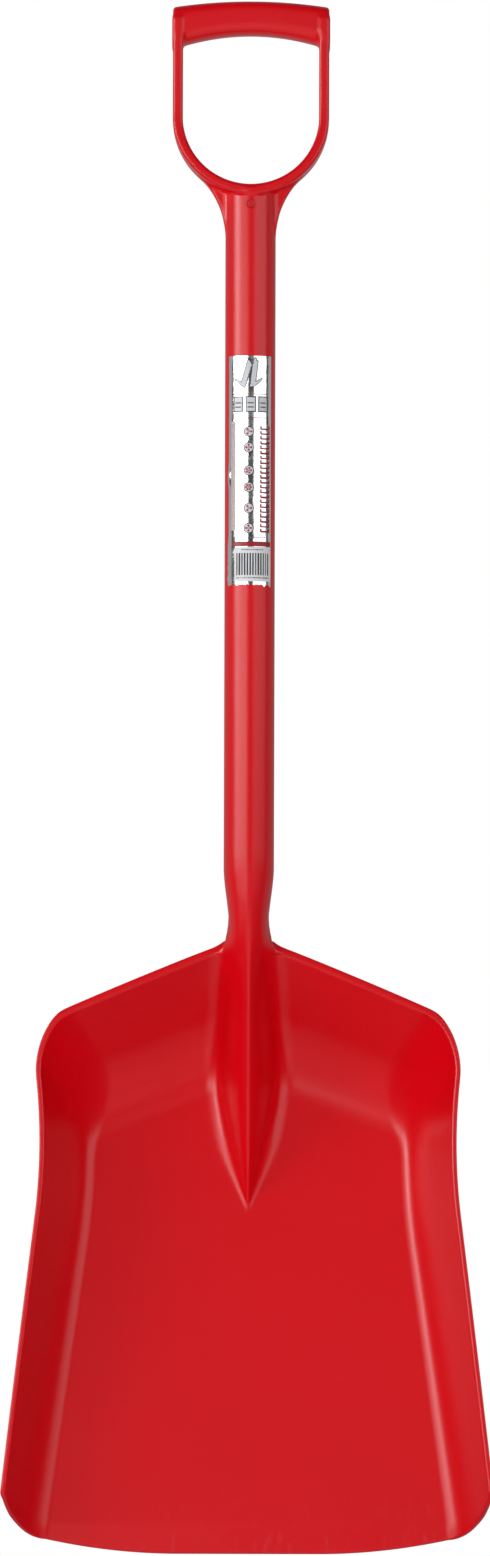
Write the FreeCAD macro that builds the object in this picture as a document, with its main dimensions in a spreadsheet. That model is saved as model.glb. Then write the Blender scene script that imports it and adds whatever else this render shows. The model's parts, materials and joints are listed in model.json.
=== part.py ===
import FreeCAD, Part
import math
import os

# Grain scoop shovel, lying on its back as it rests on level ground: the heel of the blade and the
# back of the D-grip touch the ground and the hollow of the blade faces up. +Y runs from the
# front edge of the blade to the hand bar, +X is the width, +Z is up. Millimetres and degrees.

V = FreeCAD.Vector
X_AXIS = V(1, 0, 0)
Z_AXIS = V(0, 0, 1)
ORIGIN = V(0, 0, 0)

SIZES = [
    # shaft: a straight round tube, stepped down at the blade end
    ("shaft_diameter", 36), ("shaft_bore", 25), ("shaft_length", 445),
    ("spigot_diameter", 22), ("spigot_length", 32), ("gas_bore", 10),
    ("joint_clearance", 0.1), ("bore_floor", 12),
    # D-grip: a U strap on a short round collar, with webs that blend it into the collar
    ("strap_outer_half", 56), ("strap_thickness", 7.2), ("strap_depth", 30),
    ("strap_end", 166), ("bend_centre", 87), ("collar_overlap", 3.3), ("web_depth", 12),
    ("web_radius", 62), ("web_top", 43), ("grip_spigot_length", 36), ("gas_bore_end", 30),
    ("tenon_diameter", 11), ("tenon_length", 8),
    # hand bar: an arched tube between the two ends of the strap
    ("bar_diameter", 25.5), ("bar_wall", 4.5), ("bar_bow", 6.4), ("bar_centre", 157.5),
    # plug that closes the hole through which the hollow handle is blown
    ("plug_diameter", 6.8), ("plug_length", 13), ("plug_from_seam", 23.5), ("plug_recess", 0.4),
    # labels on the shaft
    ("label_from_seam", 195), ("label_length", 165), ("label_wrap", 111), ("label_film", 0.25),
    ("code_length", 26), ("code_wrap", 92), ("code_from_end", 2.5), ("code_film", 0.15),
    # neck of the blade
    ("neck_length", 56), ("neck_width", 28), ("neck_depth", 37), ("shaft_lift", 12.5),
    ("neck_from_edge", 433), ("neck_above_floor", 84), ("neck_overlap", 22),
    ("neck_fullness", 0.7),
    # pan: floor outline, side walls, heel and V-shaped back wall
    ("pan_wall", 3.5), ("waist_half", 114.3), ("waist_from_edge", 300), ("floor_waist_radius", 500),
    ("upper_waist_radius", 400), ("floor_splay", 8.2), ("upper_splay", 10.9), ("side_draft", 22.5),
    ("upper_level", 120), ("floor_shoulder", 18), ("upper_shoulder", 60),
    ("back_margin_low", 54), ("back_margin_high", 98),
    ("heel_from_edge", 345), ("heel_radius", 62), ("back_lean", 34), ("sweep_angle", 22),
    ("crease_radius", 12), ("front_wall_height", 47), ("rear_wall_height", 77),
    ("front_wall_station", 40), ("rear_wall_station", 437),
    ("front_straight", 157), ("front_setback", 10), ("front_corner", 30), ("front_half_width", 173.5),
    # ridge that carries the neck down on to the floor
    ("ridge_tip", 256), ("ridge_tip_height", 1.2), ("ridge_crest_radius", 6), ("ridge_base", 40),
    # how far tools and blanks run past what they cut or join
    ("overrun", 1), ("front_overrun", 60),
]

# shares: blanks past the pan's outline, ridge crest to half width, ridge foot into the wall
BLANK_SHARE = 1.5
CREST_SHARE = 0.6
FOOT_SHARE = 0.7
CREST_LIFT = 1.05
# faces of the pan's blank: at least this much sideways, or this much downwards
SIDE_FACING = 0.5
DOWN_FACING = 0.3
# neck stations as shares of its length: end of the round part, shoulder, waist
NECK_ROUND = 0.15
NECK_SHOULDER = 0.55
NECK_WAIST = 0.92

# ridge stations: share of the way from the tip to the neck, and half width at the foot
RIDGE_STATIONS = [(0.0, 1.6), (0.12, 11.8), (0.29, 20.4), (0.52, 26.8), (0.66, 25.4), (0.92, 19.7),
                  (1.02, 15)]

doc = FreeCAD.newDocument("grain_scoop_shovel")
sheet = doc.addObject("Spreadsheet::Sheet", "Sizes")
for row, (alias, value) in enumerate(SIZES, start=1):
    sheet.set("A%d" % row, alias)
    sheet.set("B%d" % row, str(value))
    sheet.setAlias("B%d" % row, alias)
doc.recompute()


def size(alias):
    """Value of one named size, in millimetres or degrees."""
    return float(sheet.get(alias))


def polygon_face(points):
    """Flat face through the points, closed back to the first."""
    return Part.Face(Part.makePolygon(points + [points[0]]))


# ---------------------------------------------------------------- placements

def heel_centre():
    """Centre of the heel bend in the blade's own frame, as (along, above)."""
    return size("heel_from_edge"), size("pan_wall") + size("heel_radius")


def seam_point():
    """Where the shaft meets the blade's neck, as (along, above) in the blade's own frame."""
    lift = math.radians(size("shaft_lift"))
    along = size("neck_from_edge") + size("neck_length") * math.cos(lift)
    above = size("neck_above_floor") + size("neck_length") * math.sin(lift)
    return along, above


def rest_tilt():
    """Angle between the blade's floor and the ground when heel and D-grip both touch it."""
    lift = math.radians(size("shaft_lift"))
    seam_along, seam_above = seam_point()
    reach = size("shaft_length") + size("strap_end")
    drop = size("strap_depth") / 2
    end_along = seam_along + reach * math.cos(lift) + drop * math.sin(lift)
    end_above = seam_above + reach * math.sin(lift) - drop * math.cos(lift)
    heel_along, heel_above = heel_centre()
    run = end_along - heel_along
    rise = end_above - heel_above
    return math.degrees(math.atan2(rise, run) + math.asin(heel_above / math.hypot(run, rise)))


def blade_placement():
    """From the blade's own frame to the lying shovel."""
    return FreeCAD.Placement(ORIGIN, FreeCAD.Rotation(X_AXIS, -rest_tilt()))


def shaft_placement(blade_place):
    """From the shaft's frame, +Y along its axis from the blade seam, to the lying shovel."""
    seam_along, seam_above = seam_point()
    local = FreeCAD.Placement(V(0, seam_along, seam_above), FreeCAD.Rotation(X_AXIS, size("shaft_lift")))
    return blade_place.multiply(local)


# ---------------------------------------------------------------- blade

def pan_outline(level, draft_offset, splay, waist_radius, shoulder, back_margin, skin):
    """Right half of the pan's plan outline at one level: side, waist, shoulder and V back."""
    side_splay = math.radians(splay)
    sweep = math.radians(size("sweep_angle"))
    waist_x = size("waist_half") + draft_offset + skin / math.cos(math.radians(size("side_draft")))
    waist_y = size("waist_from_edge")
    radius = waist_radius - draft_offset
    corner = shoulder + skin
    apex = size("heel_from_edge") + back_margin + skin / math.cos(sweep)
    waist_centre = (waist_x + radius, waist_y)
    side_end = (waist_x + radius * (1 - math.cos(side_splay)), waist_y - radius * math.sin(side_splay))
    start_y = -size("front_overrun")
    front = (side_end[0] + (side_end[1] - start_y) * math.tan(side_splay), start_y)
    # shoulder circle: touches the waist circle from outside and the V line from inside
    slope = math.tan(sweep)
    line_apex = apex - corner / math.cos(sweep)
    reach = radius + corner
    a = 1 + slope * slope
    b = -2 * (waist_centre[0] + (line_apex - waist_y) * slope)
    c = waist_centre[0] ** 2 + (line_apex - waist_y) ** 2 - reach ** 2
    corner_x = (-b - math.sqrt(b * b - 4 * a * c)) / (2 * a)
    corner_centre = (corner_x, line_apex - corner_x * slope)
    gap_x = waist_centre[0] - corner_centre[0]
    gap_y = waist_centre[1] - corner_centre[1]
    gap = math.hypot(gap_x, gap_y)
    waist_end = (corner_centre[0] + gap_x * corner / gap, corner_centre[1] + gap_y * corner / gap)
    corner_end = (corner_centre[0] + corner * math.sin(sweep), corner_centre[1] + corner * math.cos(sweep))
    waist_mid = arc_middle(waist_centre, radius, side_end, waist_end)
    corner_mid = arc_middle(corner_centre, corner, waist_end, corner_end)

    def point(pair):
        return V(pair[0], pair[1], level)

    edges = [
        Part.LineSegment(V(0, start_y, level), point(front)),
        Part.LineSegment(point(front), point(side_end)),
        Part.Arc(point(side_end), point(waist_mid), point(waist_end)),
        Part.Arc(point(waist_end), point(corner_mid), point(corner_end)),
        Part.LineSegment(point(corner_end), V(0, apex, level)),
        Part.LineSegment(V(0, apex, level), V(0, start_y, level)),
    ]
    return Part.Wire([edge.toShape() for edge in edges])


def arc_middle(centre, radius, start, end):
    """Point halfway along the shorter arc from start to end."""
    mid_x = (start[0] + end[0]) / 2 - centre[0]
    mid_y = (start[1] + end[1]) / 2 - centre[1]
    length = math.hypot(mid_x, mid_y)
    return centre[0] + mid_x * radius / length, centre[1] + mid_y * radius / length


def heel_profile(skin, top):
    """Side view of everything above the floor, heel bend and leaning back wall."""
    start_y = -size("front_overrun")
    radius = size("heel_radius") + skin
    heel_y, centre_z = heel_centre()
    floor_z = size("pan_wall") - skin
    turn = math.radians(90 - size("back_lean"))
    bend_end = V(0, heel_y + radius * math.sin(turn), centre_z - radius * math.cos(turn))
    bend_mid = V(0, heel_y + radius * math.sin(turn / 2), centre_z - radius * math.cos(turn / 2))
    wall_top = V(0, bend_end.y + (top - bend_end.z) / math.tan(turn), top)
    edges = [
        Part.LineSegment(V(0, start_y, floor_z), V(0, heel_y, floor_z)),
        Part.Arc(V(0, heel_y, floor_z), bend_mid, bend_end),
        Part.LineSegment(bend_end, wall_top),
        Part.LineSegment(wall_top, V(0, start_y, top)),
        Part.LineSegment(V(0, start_y, top), V(0, start_y, floor_z)),
    ]
    return Part.Face(Part.Wire([edge.toShape() for edge in edges]))


def swept_heel(skin, top):
    """Right half of the heel profile, drawn out along the swept-back V line."""
    reach = size("front_half_width") * BLANK_SHARE
    return heel_profile(skin, top).extrude(V(reach, -reach * math.tan(math.radians(size("sweep_angle"))), 0))


def half_pan(skin):
    """Right half of the solid bounded by the inner face (skin 0) or the outer face of the pan."""
    level = size("upper_level")
    draft_offset = level * math.tan(math.radians(size("side_draft")))
    low = pan_outline(0, 0, size("floor_splay"), size("floor_waist_radius"), size("floor_shoulder"),
                      size("back_margin_low"), skin)
    high = pan_outline(level, draft_offset, size("upper_splay"), size("upper_waist_radius") + draft_offset,
                       size("upper_shoulder"), size("back_margin_high"), skin)
    flared = Part.makeLoft([low, high], True, True)
    block = flared.common(swept_heel(skin, level)).Solids[0]
    creases = [edge for edge in block.Edges if is_crease(block, edge)]
    return block.makeFillet(size("crease_radius") + skin, creases)


def is_crease(block, edge):
    """True for an edge between the side wall and the floor, heel or back wall."""
    middle = edge.valueAt((edge.FirstParameter + edge.LastParameter) / 2)
    outward = []
    for face in block.ancestorsOfType(edge, Part.Face):
        outward.append(face.normalAt(*face.Surface.parameter(middle)))
    side = any(normal.x > SIDE_FACING for normal in outward)
    under = any(normal.z < -DOWN_FACING and abs(normal.x) < SIDE_FACING for normal in outward)
    return side and under


def mirrored(half):
    """The half and its mirror image about the middle of the shovel."""
    return half.fuse(half.mirror(ORIGIN, X_AXIS)).removeSplitter()


def rim_height(along):
    """Height of the rim above the underside of the floor."""
    rise = size("rear_wall_height") - size("front_wall_height")
    share = (along - size("front_wall_station")) / (size("rear_wall_station") - size("front_wall_station"))
    return size("front_wall_height") + rise * share


def rim_block():
    """Everything below the rim."""
    half = size("front_half_width") * BLANK_SHARE
    far = size("rear_wall_station") * BLANK_SHARE
    near = -size("front_overrun")
    side = polygon_face([V(-half, near, near), V(-half, far, near), V(-half, far, rim_height(far)),
                         V(-half, near, rim_height(near))])
    return side.extrude(V(2 * half, 0, 0))


def front_block():
    """Plan of the front edge: straight in the middle, drawn back and rounded at the corners."""
    straight = size("front_straight") / 2
    corner = size("front_corner")
    half = size("front_half_width")
    far = size("rear_wall_station") * BLANK_SHARE
    wide = half * BLANK_SHARE
    tall = 2 * size("rear_wall_height")
    centre = V(half - corner, size("front_setback") + corner, 0)
    start = V(half - corner, size("front_setback"), 0)
    middle = centre + V(corner * math.sin(math.radians(45)), -corner * math.cos(math.radians(45)), 0)
    end = V(half, centre.y, 0)
    edges = [
        Part.LineSegment(ORIGIN, V(straight, 0, 0)),
        Part.LineSegment(V(straight, 0, 0), start),
        Part.Arc(start, middle, end),
        Part.LineSegment(end, V(wide, centre.y, 0)),
        Part.LineSegment(V(wide, centre.y, 0), V(wide, far, 0)),
        Part.LineSegment(V(wide, far, 0), V(0, far, 0)),
        Part.LineSegment(V(0, far, 0), ORIGIN),
    ]
    half_plan = Part.Face(Part.Wire([edge.toShape() for edge in edges]))
    half_block = half_plan.extrude(V(0, 0, 2 * tall))
    half_block.translate(V(0, 0, -tall))
    return mirrored(half_block)


def crest_height(along):
    """Height of the ridge's crest above the underside of the floor."""
    share = (along - size("ridge_tip")) / (size("neck_from_edge") - size("ridge_tip"))
    top = size("neck_above_floor") + size("neck_depth") / 2
    start = size("pan_wall") + size("ridge_tip_height")
    return start + (top - start) * share


def inner_skin(along):
    """Height of the pan's inner face on the centre line."""
    heel_y, centre_z = heel_centre()
    radius = size("heel_radius")
    turn = math.radians(90 - size("back_lean"))
    run = along - heel_y
    if run <= 0:
        return size("pan_wall")
    if run < radius * math.sin(turn):
        return centre_z - math.sqrt(radius * radius - run * run)
    return centre_z - radius * math.cos(turn) + (run - radius * math.sin(turn)) * math.tan(turn)


def ridge_section(along, half_width):
    """Tent-shaped section with a rounded crest; its sides run down through the pan wall."""
    crest = crest_height(along)
    radius = min(size("ridge_crest_radius"), half_width * CREST_SHARE)
    foot = min(inner_skin(along) - size("pan_wall") * FOOT_SHARE, crest - radius * CREST_LIFT)
    centre = crest - radius
    distance = math.hypot(half_width, centre - foot)
    lean = math.atan2(centre - foot, half_width) + math.acos(radius / distance)
    touch_x = abs(radius * math.cos(math.pi - lean))
    touch_z = centre + radius * math.sin(math.pi - lean)
    base = -size("ridge_base")
    left = [V(-half_width, along, base), V(-half_width, along, foot), V(-touch_x, along, touch_z)]
    right = [V(touch_x, along, touch_z), V(half_width, along, foot), V(half_width, along, base)]
    edges = [
        Part.LineSegment(left[0], left[1]),
        Part.LineSegment(left[1], left[2]),
        Part.Arc(left[2], V(0, along, crest), right[0]),
        Part.LineSegment(right[0], right[1]),
        Part.LineSegment(right[1], right[2]),
        Part.LineSegment(right[2], left[0]),
    ]
    return Part.Wire([edge.toShape() for edge in edges])


def ridge():
    """The ridge, kept on the load side of the pan's outer face."""
    reach = size("neck_from_edge") - size("ridge_tip")
    sections = [ridge_section(size("ridge_tip") + share * reach, half) for share, half in RIDGE_STATIONS]
    tall = Part.makeLoft(sections, True, True)
    return tall.common(mirrored(swept_heel(size("pan_wall"), 2 * size("rear_wall_height"))))


def oval(along, width, depth):
    """Upright section across the shaft's axis: an ellipse, or a circle where width equals depth."""
    side = V(width / 2, along, 0)
    top = V(0, along, depth / 2)
    if width == depth:
        curve = Part.Circle(V(0, along, 0), V(0, -1, 0), width / 2)
    elif depth > width:
        curve = Part.Ellipse(top, side, V(0, along, 0))
    else:
        curve = Part.Ellipse(side, top, V(0, along, 0))
    return Part.Wire([curve.toShape()])


def neck():
    """Neck in the shaft's frame: round at the seam, narrow and deep where it enters the pan."""
    diameter = size("shaft_diameter")
    length = size("neck_length")
    waist_width = size("neck_width")
    waist_depth = size("neck_depth")
    sections = [
        oval(0, diameter, diameter),
        oval(-NECK_ROUND * length, diameter, diameter),
        oval(-NECK_SHOULDER * length, (diameter + waist_width) / 2 + size("neck_fullness"),
             (diameter + waist_depth) / 2),
        oval(-NECK_WAIST * length, waist_width, waist_depth),
        oval(-length - size("neck_overlap"), waist_width, waist_depth),
    ]
    return Part.makeLoft(sections, True, True)


def blade_shape():
    """Pan, ridge and neck in the blade's own frame, with the socket for the shaft."""
    pan = half_pan(size("pan_wall")).cut(half_pan(0))
    pan = pan.common(rim_block()).common(front_block())
    seam_along, seam_above = seam_point()
    from_shaft = FreeCAD.Placement(V(0, seam_along, seam_above), FreeCAD.Rotation(X_AXIS, size("shaft_lift")))
    clearance = size("joint_clearance")
    depth = size("spigot_length") + clearance
    socket_radius = size("spigot_diameter") / 2 + clearance
    socket = Part.makeCylinder(socket_radius, depth + size("overrun"), V(0, -depth, 0), V(0, 1, 0))
    neck_part = neck()
    neck_part.Placement = from_shaft
    socket.Placement = from_shaft
    reach = 2 * size("rear_wall_station")
    right_side = Part.makeBox(reach, 2 * reach, 2 * reach, V(0, -reach / 2, -reach))
    handle_end = ridge().fuse(neck_part).common(right_side)
    return mirrored(pan.fuse(handle_end)).cut(socket)


def add_blade(placement):
    blade = doc.addObject("Part::Feature", "blade")
    blade.Label = "blade"
    blade.Shape = blade_shape()
    blade.Placement = placement
    return blade


# ---------------------------------------------------------------- solids bound to the sheet

ALONG_SHAFT = FreeCAD.Rotation(X_AXIS, -90)
ACROSS = FreeCAD.Rotation(V(0, 1, 0), 90)
UPRIGHT = FreeCAD.Rotation()


def bind(item, **expressions):
    """Tie properties to the sheet; x, y and z mean the position."""
    for name, expression in expressions.items():
        path = "Placement.Base." + name if name in ("x", "y", "z") else name
        item.setExpression(path, str(expression))
    return item


def cylinder(name, radius, height, turn, x="0", y="0", z="0"):
    item = doc.addObject("Part::Cylinder", name)
    item.Placement = FreeCAD.Placement(ORIGIN, turn)
    return bind(item, Radius=radius, Height=height, x=x, y=y, z=z)


def centred_box(name, width, length, depth, y, x=None):
    """Box that is centred across (or starts at x) and in depth, and starts at y."""
    item = doc.addObject("Part::Box", name)
    start = "-(%s) / 2" % width if x is None else x
    return bind(item, Length=width, Width=length, Height=depth, x=start, y=y, z="-(%s) / 2" % depth)


def fuse(name, items):
    item = doc.addObject("Part::MultiFuse", name)
    item.Shapes = items
    return item


def cut(name, base, tool):
    item = doc.addObject("Part::Cut", name)
    item.Base = base
    item.Tool = tool
    return item


def add_shaft(placement):
    """Straight tube from the blade's seam, with a thinner spigot that plugs into the blade."""
    outer = cylinder("shaft_outer", "Sizes.shaft_diameter / 2", "Sizes.shaft_length", ALONG_SHAFT)
    spigot = cylinder("shaft_spigot", "Sizes.spigot_diameter / 2", "Sizes.spigot_length + Sizes.overrun",
                      ALONG_SHAFT, y="-Sizes.spigot_length")
    bore = cylinder("shaft_bore_wide", "Sizes.shaft_bore / 2", "Sizes.shaft_length", ALONG_SHAFT,
                    y="Sizes.bore_floor")
    gas = cylinder("shaft_bore_narrow", "Sizes.gas_bore / 2",
                   "Sizes.spigot_length + Sizes.bore_floor + 2 * Sizes.overrun",
                   ALONG_SHAFT, y="-Sizes.spigot_length - Sizes.overrun")
    shaft = cut("shaft", fuse("shaft_solid", [outer, spigot]), fuse("shaft_hollow", [bore, gas]))
    shaft.Placement = placement
    return shaft


def add_grip_yoke(placement):
    """U strap, webs and round collar, with a spigot down into the shaft and a tenon at each strap end."""
    inner = "(Sizes.strap_outer_half - Sizes.strap_thickness)"
    strap_run = "Sizes.strap_end - Sizes.bend_centre"
    bend = cylinder("strap_bend", "Sizes.strap_outer_half", "Sizes.strap_depth", UPRIGHT,
                    y="Sizes.bend_centre", z="-Sizes.strap_depth / 2")
    sides = centred_box("strap_sides", "2 * Sizes.strap_outer_half", strap_run, "Sizes.strap_depth",
                        "Sizes.bend_centre")
    opening_bend = cylinder("opening_bend", inner, "2 * Sizes.shaft_diameter", UPRIGHT,
                            y="Sizes.bend_centre", z="-Sizes.shaft_diameter")
    opening_sides = centred_box("opening_sides", "2 * " + inner, strap_run + " + Sizes.overrun",
                                "2 * Sizes.shaft_diameter", "Sizes.bend_centre")
    web_block = centred_box("web_block", "1.4 * Sizes.strap_outer_half", "Sizes.web_top",
                            "Sizes.web_depth", "0")
    web_reach = "Sizes.shaft_diameter / 2 + Sizes.web_radius"
    hollows = []
    for side, sign in (("left", "-"), ("right", "")):
        hollows.append(cylinder("web_hollow_" + side, "Sizes.web_radius", "2 * Sizes.web_depth", UPRIGHT,
                                x="%s(%s)" % (sign, web_reach), z="-Sizes.web_depth"))
    webs = cut("webs", web_block, fuse("web_hollows", hollows))
    collar = cylinder("collar", "Sizes.shaft_diameter / 2",
                      "Sizes.bend_centre - Sizes.strap_outer_half + Sizes.collar_overlap", ALONG_SHAFT)
    spigot = cylinder("grip_spigot", "Sizes.shaft_bore / 2 - Sizes.joint_clearance",
                      "Sizes.grip_spigot_length + Sizes.overrun", ALONG_SHAFT, y="-Sizes.grip_spigot_length")
    solid = fuse("yoke_solid", [bend, sides, webs, collar, spigot])
    gas = cylinder("yoke_bore", "Sizes.gas_bore / 2",
                   "Sizes.grip_spigot_length + Sizes.gas_bore_end + Sizes.overrun",
                   ALONG_SHAFT, y="-Sizes.grip_spigot_length - Sizes.overrun")
    plug_hole = cylinder("plug_hole", "Sizes.plug_diameter / 2", "Sizes.shaft_diameter", UPRIGHT,
                         y="Sizes.plug_from_seam")
    opened = cut("yoke_opened", solid, fuse("yoke_hollow", [opening_bend, opening_sides, gas, plug_hole]))
    tenon_y = "Sizes.bar_centre - Sizes.bar_bow"
    tenon_run = "Sizes.tenon_length + Sizes.overrun"
    tenons = []
    starts = {"left": "-" + inner + " - Sizes.overrun", "right": inner + " - Sizes.tenon_length"}
    for side, start in starts.items():
        tenons.append(cylinder("tenon_" + side, "Sizes.tenon_diameter / 2", tenon_run, ACROSS,
                               x=start, y=tenon_y))
    yoke = fuse("grip_yoke", [opened] + tenons)
    yoke.Placement = placement
    return yoke


def add_hand_bar(placement):
    """Arched tube whose ends stand on the strap's inner faces, over the tenons."""
    half_span = "(Sizes.strap_outer_half - Sizes.strap_thickness)"
    arch = "(%s * %s + Sizes.bar_bow * Sizes.bar_bow) / (2 * Sizes.bar_bow)" % (half_span, half_span)
    rings = []
    for name, radius in (("bar_skin", "Sizes.bar_diameter / 2"),
                         ("bar_hollow", "Sizes.bar_diameter / 2 - Sizes.bar_wall")):
        ring = doc.addObject("Part::Torus", name)
        ring.Placement = FreeCAD.Placement(ORIGIN, UPRIGHT)
        rings.append(bind(ring, Radius1=arch, Radius2=radius, y="Sizes.bar_centre - (%s)" % arch))
    tube = cut("bar_tube", rings[0], rings[1])
    window = centred_box("bar_window", "2 * " + half_span, "3 * Sizes.bar_diameter",
                         "2 * Sizes.bar_diameter", "Sizes.bar_centre - 1.5 * Sizes.bar_diameter")
    bar = doc.addObject("Part::Common", "hand_bar")
    bar.Base = tube
    bar.Tool = window
    bar.Placement = placement
    return bar


def add_gate_plug(placement):
    """Short plug in the collar, a little below the surface."""
    plug = doc.addObject("Part::Cylinder", "gate_plug")
    bind(plug, Radius="Sizes.plug_diameter / 2", Height="Sizes.plug_length")
    base = size("shaft_diameter") / 2 - size("plug_length") - size("plug_recess")
    plug.Placement = placement.multiply(FreeCAD.Placement(V(0, size("plug_from_seam"), base), UPRIGHT))
    return plug


def add_film(name, inner_radius, film, wrap, length, along, placement):
    """Thin label wrapped round the upper side of the shaft."""
    start = FreeCAD.Rotation(Z_AXIS, 270 - size(wrap) / 2)
    skins = []
    for part_name, radius in (("_outer", "%s + %s" % (inner_radius, film)), ("_inner", inner_radius)):
        skin = cylinder(name + part_name, radius, "Sizes." + length, ALONG_SHAFT.multiply(start), y=along)
        skins.append(bind(skin, Angle="Sizes." + wrap))
    label = cut(name, skins[0], skins[1])
    label.Placement = placement
    return label


def add_labels(placement):
    shaft_radius = "Sizes.shaft_diameter / 2"
    foil = add_film("shaft_label", shaft_radius, "Sizes.label_film", "label_wrap", "label_length",
                    "Sizes.label_from_seam", placement)
    code = add_film("barcode_label", shaft_radius + " + Sizes.label_film", "Sizes.code_film", "code_wrap",
                    "code_length", "Sizes.label_from_seam + Sizes.code_from_end", placement)
    return [foil, code]


# ---------------------------------------------------------------- assembly

def build():
    """Every sub-part in its place on the lying shovel."""
    blade_place = blade_placement()
    shaft_place = shaft_placement(blade_place)
    grip_place = shaft_place.multiply(FreeCAD.Placement(V(0, size("shaft_length"), 0), UPRIGHT))
    nodes = [
        add_blade(blade_place),
        add_shaft(shaft_place),
        add_grip_yoke(grip_place),
        add_hand_bar(grip_place),
        add_gate_plug(grip_place),
    ]
    nodes += add_labels(shaft_place)
    doc.recompute()
    settle(nodes)
    doc.recompute()
    return nodes


def settle(nodes):
    """Shift everything so that it stands on the ground, centred on the origin."""
    whole = Part.makeCompound([node.Shape for node in nodes]).optimalBoundingBox(False)
    shift = V(-(whole.XMin + whole.XMax) / 2, -(whole.YMin + whole.YMax) / 2, -whole.ZMin)
    for node in nodes:
        place = node.Placement
        place.Base = place.Base + shift
        node.Placement = place


def check(nodes):
    """Stop on any failed object or bad solid."""
    for item in doc.Objects:
        if "Invalid" in item.State or "Error" in item.State:
            raise RuntimeError("%s failed: %s" % (item.Label, item.State))
    for node in nodes:
        if node.Shape.isNull() or not node.Shape.isValid():
            raise RuntimeError("%s has no valid shape" % node.Label)


def write(nodes):
    os.makedirs("parts", exist_ok=True)
    for node in nodes:
        node.Shape.exportStep(os.path.join("parts", node.Label + ".step"))
        box = node.Shape.optimalBoundingBox(False)
        print("%-14s %8.1f cm3  x %7.2f %7.2f  y %7.2f %7.2f  z %7.2f %7.2f" % (
            node.Label, node.Shape.Volume / 1000, box.XMin, box.XMax, box.YMin, box.YMax, box.ZMin, box.ZMax))


shovel = build()
check(shovel)
write(shovel)
print("floor tilt %.3f degrees" % rest_tilt())
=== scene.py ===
import json
import math

import bpy
import bmesh
import numpy as np
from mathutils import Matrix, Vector, noise


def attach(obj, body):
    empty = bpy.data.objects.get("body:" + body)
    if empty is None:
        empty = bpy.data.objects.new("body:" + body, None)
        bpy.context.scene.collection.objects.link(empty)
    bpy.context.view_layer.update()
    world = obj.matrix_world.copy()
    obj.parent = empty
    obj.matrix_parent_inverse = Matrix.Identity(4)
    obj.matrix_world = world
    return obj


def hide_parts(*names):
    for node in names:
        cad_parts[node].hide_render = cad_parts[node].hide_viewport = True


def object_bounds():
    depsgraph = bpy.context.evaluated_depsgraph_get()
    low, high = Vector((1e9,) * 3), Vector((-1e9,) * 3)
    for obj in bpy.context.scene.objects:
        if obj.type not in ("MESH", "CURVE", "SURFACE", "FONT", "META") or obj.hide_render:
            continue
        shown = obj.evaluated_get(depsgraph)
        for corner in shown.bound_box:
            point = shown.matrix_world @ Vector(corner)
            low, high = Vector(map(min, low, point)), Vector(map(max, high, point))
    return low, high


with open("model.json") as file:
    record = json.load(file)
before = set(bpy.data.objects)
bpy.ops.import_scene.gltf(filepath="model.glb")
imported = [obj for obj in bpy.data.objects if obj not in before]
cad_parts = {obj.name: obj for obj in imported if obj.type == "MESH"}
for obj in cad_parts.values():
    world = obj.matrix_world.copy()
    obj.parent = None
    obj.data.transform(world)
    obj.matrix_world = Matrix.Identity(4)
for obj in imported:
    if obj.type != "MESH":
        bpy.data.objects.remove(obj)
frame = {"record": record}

# A red moulded grain scoop shovel lying on its back: blade, shaft, D-grip and two labels.
# Shapes are worked out in millimetres in the local frames of the blade, the shaft and the grip,
# and are put in the shovel's own frame, in metres, when each mesh is made.

CAD_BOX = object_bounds()
MM = 0.001
RECORD = frame["record"]
MOUNTS = {mount["name"]: mount for mount in RECORD["mounts"]}
ROOT = "root"


# ------------------------------------------------------------------ local frames

class LocalFrame:
    """Millimetre frame: x across, y along, z up out of the hollow of the shovel."""

    def __init__(self, origin, along, up):
        self.origin = np.array(origin, float)
        self.axes = np.array([np.cross(along, up), along, up], float)

    def to_row(self, points):
        return np.asarray(points, float) * MM @ self.axes + self.origin


def blade_frame():
    """Origin under the middle of the front edge, +y along the floor towards the handle."""
    mount_from_edge = 170
    mount = MOUNTS["blade_underside"]
    up = -np.array(mount["axis"])
    along = np.array([0, up[2], -up[1]])
    return LocalFrame(np.array(mount["pos_m"]) - along * mount_from_edge * MM, along, up)


def shaft_frame():
    """Origin at the seam between neck and shaft, +y along the shaft towards the grip."""
    mount_from_seam = 60
    mount = MOUNTS["shaft_clip_zone"]
    along = np.array(mount["axis"])
    up = np.array([0, -along[2], along[1]])
    return LocalFrame(np.array(mount["pos_m"]) - along * mount_from_seam * MM, along, up)


BLADE = blade_frame()
SHAFT = shaft_frame()

# driving sizes, millimetres and degrees
SHAFT_RADIUS = 18
SHAFT_LENGTH = 445
WALL = 3.5
SWEEP = math.radians(22)
HEEL_Y = 345
HEEL_RADIUS = 62
BACK_LEAN = math.radians(34)
NECK_Y = 433
NECK_Z = 84
NECK_LENGTH = 56
NECK_WIDTH = 28
NECK_DEPTH = 37
LIFT = math.radians(12.5)
RIDGE_TIP = 256
GRIP = LocalFrame(SHAFT.to_row([[0, SHAFT_LENGTH, 0]])[0], SHAFT.axes[1], SHAFT.axes[2])


# ------------------------------------------------------------------ numbers

def smooth_step(value):
    value = np.clip(value, 0, 1)
    return value * value * (3 - 2 * value)


def smooth_max(a, b, reach):
    """Larger of the two, rounded over where they are within reach of each other."""
    share = np.clip(1 - np.abs(a - b) / reach, 0, 1)
    return np.maximum(a, b) + share * share * reach / 4


def smooth_min(a, b, reach):
    return -smooth_max(-a, -b, reach)


def graded(*runs):
    """Values from 0 to 1 in runs of (end, count), evenly spaced inside each run."""
    values = [0.0]
    for end, count in runs:
        start = values[-1]
        values += [start + (end - start) * (i + 1) / count for i in range(count)]
    return np.array(values)


# ------------------------------------------------------------------ meshes

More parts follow.
